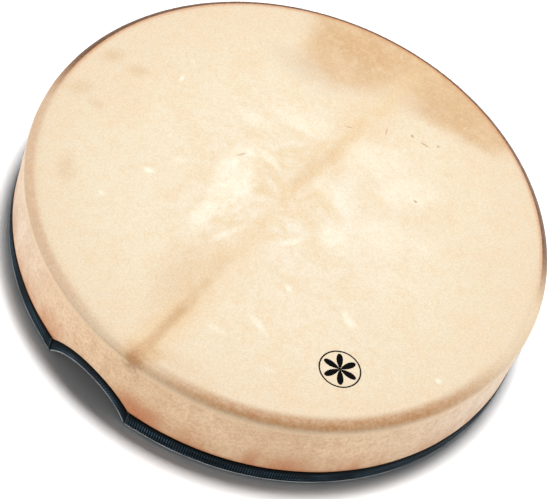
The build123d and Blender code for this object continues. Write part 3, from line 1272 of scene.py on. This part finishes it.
@dataclass
class RimRibbon(Ribbon):
    """The long ribbon, folded round the drum's lower edge from one corner of the grip to the other."""

    grip: Grip = field(default_factory=Grip)
    outer_fold: float = 0.0026
    inner_fold: float = 0.002
    inner_top: float = 0.0091
    lap: float = 0.0095
    lap_slope: float = 0.003
    waver: float = 0.0003

    def build(self, cloth: bpy.types.Material) -> bpy.types.Object:
        """Make the ribbon and dress it.

        Args:
            cloth: The ribbon's material.

        Returns:
            The ribbon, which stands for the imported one.
        """
        clear = math.asin(self.grip.corner / HEAD_RADIUS)
        sweep = 2 * math.pi - 2 * clear
        count = int(sweep * HEAD_RADIUS / self.rib_pitch) * self.steps_per_rib + 1
        angle = -math.pi / 2 + clear + np.linspace(0, sweep, count)
        along = (angle - angle[0]) * HEAD_RADIUS
        cosine, sine = np.cos(angle)[:, None], np.sin(angle)[:, None]
        radius, level, out_radius, out_level, across = self._section()
        sway = smooth_step(level, 0.010, RIBBON_TOP) * (radius > HEAD_RADIUS - 0.005)
        levels = level + self.waver * ripple(angle, 9, 40, 11)[:, None] * sway
        start = self.grip.corner + self.lap
        side = np.abs(HEAD_RADIUS * cosine)
        lapped = np.where(sine < 0, 1 - smooth_step(side, start, start + self.lap_slope), 0)
        raised = (level > self.outer_fold) & (radius > HEAD_RADIUS - 0.0005)
        radii = radius + self.thickness * lapped * raised
        place = np.stack([radii * cosine, radii * sine, levels], axis=2)
        upward = np.broadcast_to(out_level, radii.shape)
        outward = np.stack([out_radius * cosine, out_radius * sine, upward], axis=2)
        ribbon = self.strip("rim_ribbon", place, outward, along, across)
        ribbon.data.materials.append(cloth)
        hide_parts("ribbon_rim")
        return ribbon

    def _section(self) -> tuple[np.ndarray, ...]:
        """The inner face of the folded ribbon, from its outer top edge round to its inner one.

        Returns:
            Radius, height, outward direction's two parts and distance across the ribbon, for each row.
        """
        big, small = self.outer_fold, self.inner_fold
        foot, inner_foot = big + self.thickness, small + self.thickness
        centre, inner_centre = HEAD_RADIUS - big, WALL_INNER + small
        turn = [(math.cos(t), math.sin(t)) for t in QUARTER_TURN]
        return self.unfold(
            [(HEAD_RADIUS, z, 1.0, 0.0) for z in np.linspace(RIBBON_TOP, foot, 9)]
            + [(centre + big * c, foot - big * s, c, -s) for c, s in turn[1:]]
            + [(inner_centre - small * s, inner_foot - small * c, -s, -c) for c, s in turn]
            + [(WALL_INNER, z, -1.0, 0.0) for z in np.linspace(inner_foot, self.inner_top, 3)[1:]]
        )


@dataclass
class GripRibbon(Ribbon):
    """The short ribbon, folded round the arch of the grip and tucked under the long one at both ends."""

    grip: Grip = field(default_factory=Grip)
    outer_leg: float = 0.012
    inner_leg: float = 0.0148
    fold: float = 0.0014
    tail: float = 0.008
    tail_foot: float = 0.0042

    def build(self, cloth: bpy.types.Material) -> bpy.types.Object:
        """Make the ribbon and dress it.

        Args:
            cloth: The ribbon's material.

        Returns:
            The ribbon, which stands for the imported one.
        """
        reach, depth, out_reach, out_depth, across = self._section()
        ends = np.array([self._end(r, d) for r, d in zip(reach, depth)])
        length = 2 * ends[len(ends) // 2] * self.grip.radius
        count = int(length / self.rib_pitch) * self.steps_per_rib + 1
        share = np.linspace(-1, 1, count)
        along = (share + 1) / 2 * length
        angle = share[:, None] * ends[None, :]
        sideways = reach * np.sin(angle)
        level = self.grip.centre + reach * np.cos(angle)
        bow = np.sqrt(depth**2 - sideways**2)
        place = np.stack([sideways, -bow, level], axis=2)
        outward = np.stack([
            out_reach * np.sin(angle) + out_depth * sideways / depth,
            -out_depth * bow / depth,
            out_reach * np.cos(angle),
        ], axis=2)
        ribbon = self.strip("grip_ribbon", place, outward, along, across)
        ribbon.data.materials.append(cloth)
        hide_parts("ribbon_grip")
        return ribbon

    def _section(self) -> tuple[np.ndarray, ...]:
        """The inner face of the folded ribbon, from its outer edge over the arch to its inner one.

        Returns:
            Distance from the arch's centre, from the drum's axis, the outward direction's two parts and the
            distance across the ribbon, for each row.
        """
        edge, fold = self.grip.radius + self.thickness, self.fold
        crown, outer, inner = edge + fold, HEAD_RADIUS - fold, WALL_INNER + fold
        turn = [(math.cos(t), math.sin(t)) for t in QUARTER_TURN]
        return self.unfold(
            [(r, HEAD_RADIUS, 0.0, 1.0) for r in np.linspace(edge + self.outer_leg, crown, 6)]
            + [(crown - fold * s, outer + fold * c, -s, c) for c, s in turn[1:]]
            + [(edge, depth, -1.0, 0.0) for depth in np.linspace(outer, inner, 4)[1:-1]]
            + [(crown - fold * c, inner - fold * s, -c, -s) for c, s in turn]
            + [(r, WALL_INNER, 0.0, -1.0) for r in np.linspace(crown, edge + self.inner_leg, 5)[1:]]
        )

    def _end(self, reach: float, depth: float) -> float:
        """How far round the arch a row of the ribbon runs: to the floor, the corner or the tail's edge.

        Args:
            reach: The row's distance from the arch's centre.
            depth: Its distance from the drum's axis.

        Returns:
            The angle from the arch's top, in radians.
        """
        corner = math.asin(min(1.0, self.grip.corner / reach))
        floor = math.acos(-self.grip.centre / reach)
        if depth < HEAD_RADIUS - self.fold:
            return min(corner, floor)
        over_foot = math.acos((self.tail_foot - self.grip.centre) / reach)
        tail = math.asin(min(1.0, (self.grip.corner + self.tail) / reach))
        return max(min(corner, floor), min(tail, over_foot))


@dataclass
class Hoop:
    """The laminated hoop and the staples in it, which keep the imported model's own shapes."""

    plies: int = 7

    def dress(self) -> list[bpy.types.Object]:
        """Give the veneers and the staples their finishes.

        Returns:
            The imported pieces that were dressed.
        """
        beech, wire = Beech().material(), StapleWire().material()
        finishes = {f"frame_ply_{number}": (beech, "beech") for number in range(1, self.plies + 1)}
        finishes["skin_staples"] = (wire, "staple_wire")
        pieces = []
        for name, (material, slot) in finishes.items():
            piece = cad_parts[name]
            piece.data.materials.clear()
            piece.data.materials.append(material)
            pieces.append(piece)
        return pieces


# --------------------------------------------------------------------------------------------------
# Studio
# --------------------------------------------------------------------------------------------------


@dataclass
class Studio:
    """Pale floor, soft light and the camera."""

    floor_size: float = 12.0
    room_strength: float = 0.12
    lens: float = 141.3
    distance: float = 2.068
    azimuth: float = 25.31
    elevation: float = 50.29
    roll: float = 22.86
    target: Place = (-0.0024, 0.0101, 0.0)

    def build(self) -> None:
        """Set up floor, lights and camera."""
        self._floor()
        self._lights()
        self._camera()
        bpy.context.scene.view_settings.view_transform = "Standard"

    def _floor(self) -> None:
        """Lay the paper down."""
        half = self.floor_size / 2
        outline = [(-half, -half, 0), (half, -half, 0), (half, half, 0), (-half, half, 0)]
        mesh = bpy.data.meshes.new("studio_floor")
        mesh.from_pydata(outline, [], [(0, 1, 2, 3)])
        floor = bpy.data.objects.new("studio_floor", mesh)
        bpy.context.scene.collection.objects.link(floor)
        floor.data.materials.append(StudioPaper().material())

    def _lights(self) -> None:
        """A key light high over the head, low fills all round for the wall, and a bright room."""
        world = bpy.data.worlds.new("studio_room")
        bpy.context.scene.world = world
        world.use_nodes = True
        room = world.node_tree.nodes["Background"]
        room.inputs["Color"].default_value = (1, 1, 1, 1)
        room.inputs["Strength"].default_value = self.room_strength
        wall_middle = (0, 0, 0.05)
        self._softbox("key_light", (-0.12, 0.37, 2.9), (0, 0, 0), (0.65, 0.65), 115)
        self._softbox("left_fill", (-1.3, -1.9, 0.12), wall_middle, (1.4, 0.2), 25)
        self._softbox("right_fill", (2.2, 0.1, 0.12), wall_middle, (1.2, 0.2), 15)
        self._softbox("back_fill", (0.3, 2.3, 0.12), wall_middle, (1.6, 0.2), 10)

    def _softbox(
        self, name: str, place: Place, aim: Place, size: tuple[float, float], power: float,
    ) -> None:
        """Hang one rectangular area light.

        Args:
            name: The light's name.
            place: Where it hangs.
            aim: What it points at.
            size: Its width and height in metres.
            power: Its power in watts.
        """
        light = bpy.data.lights.new(name, "AREA")
        light.shape = "RECTANGLE"
        light.size, light.size_y, light.energy = *size, power
        lamp = bpy.data.objects.new(name, light)
        bpy.context.scene.collection.objects.link(lamp)
        lamp.location = place
        lamp.rotation_euler = (Vector(aim) - Vector(place)).to_track_quat("-Z", "Y").to_euler()

    def _camera(self) -> None:
        """Set up the camera: a long lens, looking down at the head, and rolled."""
        data = bpy.data.cameras.new("camera")
        data.lens = self.lens
        data.sensor_width = 36
        camera = bpy.data.objects.new("camera", data)
        bpy.context.scene.collection.objects.link(camera)
        turn, lift = math.radians(self.azimuth), math.radians(self.elevation)
        back = Vector((math.sin(turn) * math.cos(lift), -math.cos(turn) * math.cos(lift), math.sin(lift)))
        facing = (-back).to_track_quat("-Z", "Y").to_matrix().to_4x4()
        place = Matrix.Translation(Vector(self.target) + back * self.distance)
        camera.matrix_world = place @ facing @ Matrix.Rotation(math.radians(self.roll), 4, "Z")
        bpy.context.scene.camera = camera


def corners(box: tuple[Vector, Vector]) -> list[list[float]]:
    """A box's two corners as plain lists."""
    return [list(map(float, corner)) for corner in box]


def main() -> None:
    """Build the drum and the studio, and report each piece."""
    logging.basicConfig(level=logging.INFO, format="%(name)s: %(message)s")
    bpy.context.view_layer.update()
    grip = Grip()
    pieces = Hoop().dress()
    pieces.append(HeadSkin(grip).build())
    pieces.append(RimRibbon(grip=grip).build(Grosgrain("grosgrain_rim", 0.017).material()))
    pieces.append(GripRibbon(grip=grip).build(Grosgrain("grosgrain_grip", 0.0112).material()))
    Studio().build()
    for piece in pieces:
        LOG.info("%s: %d faces", piece.name, len(piece.data.polygons))


if __name__ == "__main__":
    main()
